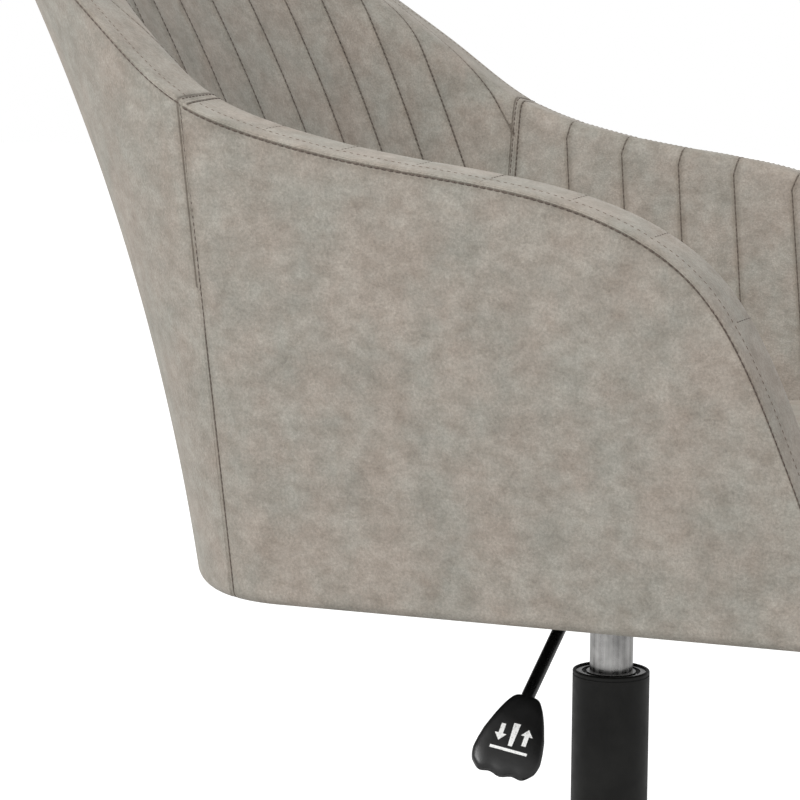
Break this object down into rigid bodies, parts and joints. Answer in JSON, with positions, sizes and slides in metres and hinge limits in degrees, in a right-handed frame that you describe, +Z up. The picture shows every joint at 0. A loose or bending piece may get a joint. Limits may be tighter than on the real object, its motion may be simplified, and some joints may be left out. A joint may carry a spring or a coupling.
{
  "type": "swivel tub chair",
  "caption": "Upholstered tub chair with arms on a gas lift, a height lever and a five-arm base with twin-wheel casters.",
  "frame": {"origin": "on the floor under the column's axis", "axes": "+Z up, the sitter faces -Y, +X is the sitter's left and the lever is on -X"},
  "size_m": [0.6028, 0.7457, 0.8174],
  "materials": {
    "base_nylon": "moulded, fine grain",
    "tube_paint": "black powder coat, satin",
    "bush_plastic": "moulded, glossy",
    "bearing_steel": "ground",
    "cage_plastic": "moulded",
    "rod_chrome": "hard chromed",
    "zinc_steel": "bright zinc",
    "buffer_rubber": "moulded",
    "cylinder_steel": "drawn tube, lacquered",
    "plate_paint": "black paint",
    "lever_paint": "black paint",
    "handle_plastic": "moulded, fine spark grain",
    "plywood": "raw birch",
    "grey_upholstery": "mottled coated cloth with a suede touch",
    "underside_cloth": "black non-woven",
    "caster_nylon": "moulded",
    "wheel_nylon": "moulded"
  },
  "bodies": {
    "base": {"star_base": "base_nylon", "column_tube": "tube_paint", "tube_bushing": "bush_plastic", "thrust_washer_lower": "bearing_steel"},
    "bearing_cage": {"ball_cage": "cage_plastic", "bearing_balls": "bearing_steel"},
    "spring_rod": {"thrust_washer_upper": "bearing_steel", "piston_rod": "rod_chrome", "rod_clip": "zinc_steel", "rubber_buffer": "buffer_rubber"},
    "seat": {"gas_cylinder": "cylinder_steel", "taper_socket": "plate_paint", "mount_plate": "plate_paint", "plate_washers": "zinc_steel", "plate_bolts": "zinc_steel", "tee_nuts": "zinc_steel", "lever_bush": "bush_plastic", "seat_board": "plywood", "tub_frame": "plywood", "outer_back_cover": "grey_upholstery", "outer_arm_cover_left": "grey_upholstery", "outer_arm_cover_right": "grey_upholstery", "inner_back_pad": "grey_upholstery", "inner_arm_pad_left": "grey_upholstery", "inner_arm_pad_right": "grey_upholstery", "seat_cushion": "grey_upholstery", "front_border": "grey_upholstery", "dust_cover": "underside_cloth"},
    "lever": {"lever_rod": "lever_paint", "lever_handle": "handle_plastic"},
    "valve_pin": {"release_pin": "zinc_steel"},
    "caster_1": {"caster_1_stem": "zinc_steel", "caster_1_hood": "caster_nylon", "caster_1_axle": "zinc_steel"},
    "wheel_1a": {"caster_1_wheel_a": "wheel_nylon"},
    "wheel_1b": {"caster_1_wheel_b": "wheel_nylon"},
    "caster_2": {"caster_2_stem": "zinc_steel", "caster_2_hood": "caster_nylon", "caster_2_axle": "zinc_steel"},
    "wheel_2a": {"caster_2_wheel_a": "wheel_nylon"},
    "wheel_2b": {"caster_2_wheel_b": "wheel_nylon"},
    "caster_3": {"caster_3_stem": "zinc_steel", "caster_3_hood": "caster_nylon", "caster_3_axle": "zinc_steel"},
    "wheel_3a": {"caster_3_wheel_a": "wheel_nylon"},
    "wheel_3b": {"caster_3_wheel_b": "wheel_nylon"},
    "caster_4": {"caster_4_stem": "zinc_steel", "caster_4_hood": "caster_nylon", "caster_4_axle": "zinc_steel"},
    "wheel_4a": {"caster_4_wheel_a": "wheel_nylon"},
    "wheel_4b": {"caster_4_wheel_b": "wheel_nylon"},
    "caster_5": {"caster_5_stem": "zinc_steel", "caster_5_hood": "caster_nylon", "caster_5_axle": "zinc_steel"},
    "wheel_5a": {"caster_5_wheel_a": "wheel_nylon"},
    "wheel_5b": {"caster_5_wheel_b": "wheel_nylon"}
  },
  "joints": [
    {"name": "seat_swivel", "type": "hinge", "parent": "base", "child": "spring_rod", "pos_m": [0, 0, 0.073], "axis": [0, 0, 1], "continuous": true},
    {"name": "cage_roll", "type": "hinge", "parent": "base", "child": "bearing_cage", "pos_m": [0, 0, 0.069], "axis": [0, 0, 1], "continuous": true},
    {"name": "seat_lift", "type": "slide", "parent": "spring_rod", "child": "seat", "axis": [0, 0, 1], "range_m": [0, 0.1]},
    {"name": "lever_lift", "type": "hinge", "parent": "seat", "child": "lever", "pos_m": [-0.06, 0, 0.358], "axis": [0, 1, 0], "range_deg": [0, 3.5], "stiffness_Nm_per_rad": 4, "springref_deg": -2.86},
    {"name": "valve_press", "type": "slide", "parent": "seat", "child": "valve_pin", "axis": [0, 0, -1], "range_m": [0, 0.0037]},
    {"name": "caster_1_swivel", "type": "hinge", "parent": "base", "child": "caster_1", "pos_m": [0, -0.272, 0.06], "axis": [0, 0, 1], "continuous": true},
    {"name": "wheel_1a_roll", "type": "hinge", "parent": "caster_1", "child": "wheel_1a", "pos_m": [0.0065, -0.28985, 0.025], "axis": [-0.9397, -0.342, 0], "continuous": true},
    {"name": "wheel_1b_roll", "type": "hinge", "parent": "caster_1", "child": "wheel_1b", "pos_m": [0.0065, -0.28985, 0.025], "axis": [-0.9397, -0.342, 0], "continuous": true},
    {"name": "caster_2_swivel", "type": "hinge", "parent": "base", "child": "caster_2", "pos_m": [0.25869, -0.08405, 0.06], "axis": [0, 0, 1], "continuous": true},
    {"name": "wheel_2a_roll", "type": "hinge", "parent": "caster_2", "child": "wheel_2a", "pos_m": [0.24597, -0.06993, 0.025], "axis": [0.7431, 0.6691, 0], "continuous": true},
    {"name": "wheel_2b_roll", "type": "hinge", "parent": "caster_2", "child": "wheel_2b", "pos_m": [0.24597, -0.06993, 0.025], "axis": [0.7431, 0.6691, 0], "continuous": true},
    {"name": "caster_3_swivel", "type": "hinge", "parent": "base", "child": "caster_3", "pos_m": [0.15988, 0.22005, 0.06], "axis": [0, 0, 1], "continuous": true},
    {"name": "wheel_3a_roll", "type": "hinge", "parent": "caster_3", "child": "wheel_3a", "pos_m": [0.17877, 0.21807, 0.025], "axis": [-0.1045, -0.9945, 0], "continuous": true},
    {"name": "wheel_3b_roll", "type": "hinge", "parent": "caster_3", "child": "wheel_3b", "pos_m": [0.17877, 0.21807, 0.025], "axis": [-0.1045, -0.9945, 0], "continuous": true},
    {"name": "caster_4_swivel", "type": "hinge", "parent": "base", "child": "caster_4", "pos_m": [-0.15988, 0.22005, 0.06], "axis": [0, 0, 1], "continuous": true},
    {"name": "wheel_4a_roll", "type": "hinge", "parent": "caster_4", "child": "wheel_4a", "pos_m": [-0.17422, 0.20759, 0.025], "axis": [-0.6561, 0.7547, 0], "continuous": true},
    {"name": "wheel_4b_roll", "type": "hinge", "parent": "caster_4", "child": "wheel_4b", "pos_m": [-0.17422, 0.20759, 0.025], "axis": [-0.6561, 0.7547, 0], "continuous": true},
    {"name": "caster_5_swivel", "type": "hinge", "parent": "base", "child": "caster_5", "pos_m": [-0.25869, -0.08405, 0.06], "axis": [0, 0, 1], "continuous": true},
    {"name": "wheel_5a_roll", "type": "hinge", "parent": "caster_5", "child": "wheel_5a", "pos_m": [-0.24862, -0.06794, 0.025], "axis": [0.848, -0.5299, 0], "continuous": true},
    {"name": "wheel_5b_roll", "type": "hinge", "parent": "caster_5", "child": "wheel_5b", "pos_m": [-0.24862, -0.06794, 0.025], "axis": [0.848, -0.5299, 0], "continuous": true}
  ],
  "couplings": [
    {"joint": "cage_roll", "follows": "seat_swivel", "ratio": 0.5},
    {"joint": "valve_press", "follows": "lever_lift", "m_per_rad": 0.06}
  ]
}
